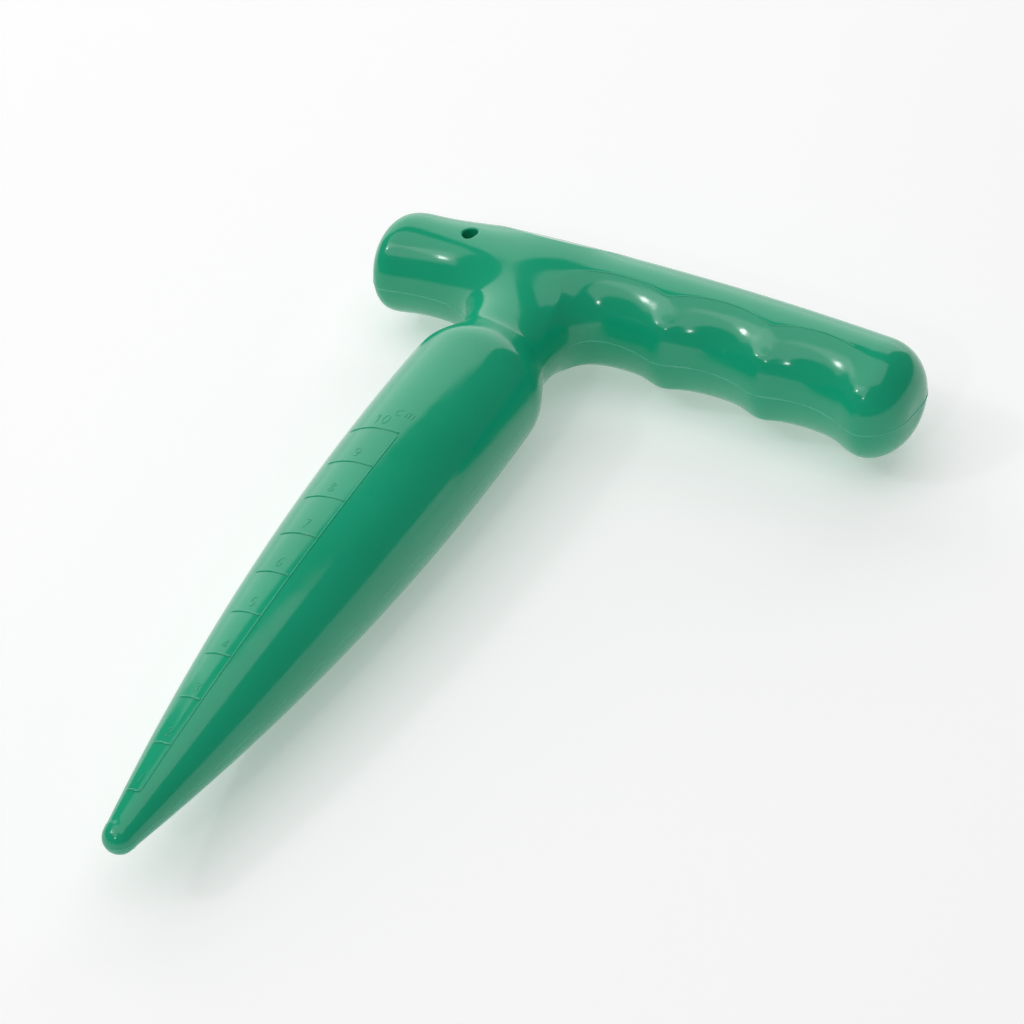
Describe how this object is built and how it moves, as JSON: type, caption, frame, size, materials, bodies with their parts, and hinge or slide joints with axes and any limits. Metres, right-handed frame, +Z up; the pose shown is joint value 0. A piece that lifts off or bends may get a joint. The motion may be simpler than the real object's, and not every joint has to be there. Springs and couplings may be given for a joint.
{
  "type": "t-handled dibber",
  "caption": "Hollow plastic dibber with a tapered spike, a depth scale, and an arched T grip with finger grooves and a hanging hole, made of welded half shells.",
  "frame": {"origin": "on the ground under the middle of the bounding box, with the tool lying on its side and its joint plane level", "axes": "+X along the grip towards its long side with the finger grooves, +Y from the spike's tip to the grip, +Z up along the hanging hole"},
  "size_m": [0.1232, 0.1772, 0.029],
  "materials": {
    "green_plastic": "high gloss moulded polypropylene, one even green",
    "seam_plastic": "the same green plastic, melted and set, slightly lighter"
  },
  "bodies": {
    "root": {"upper_shell": "green_plastic", "lower_shell": "green_plastic", "weld_seam": "seam_plastic"}
  },
  "joints": []
}
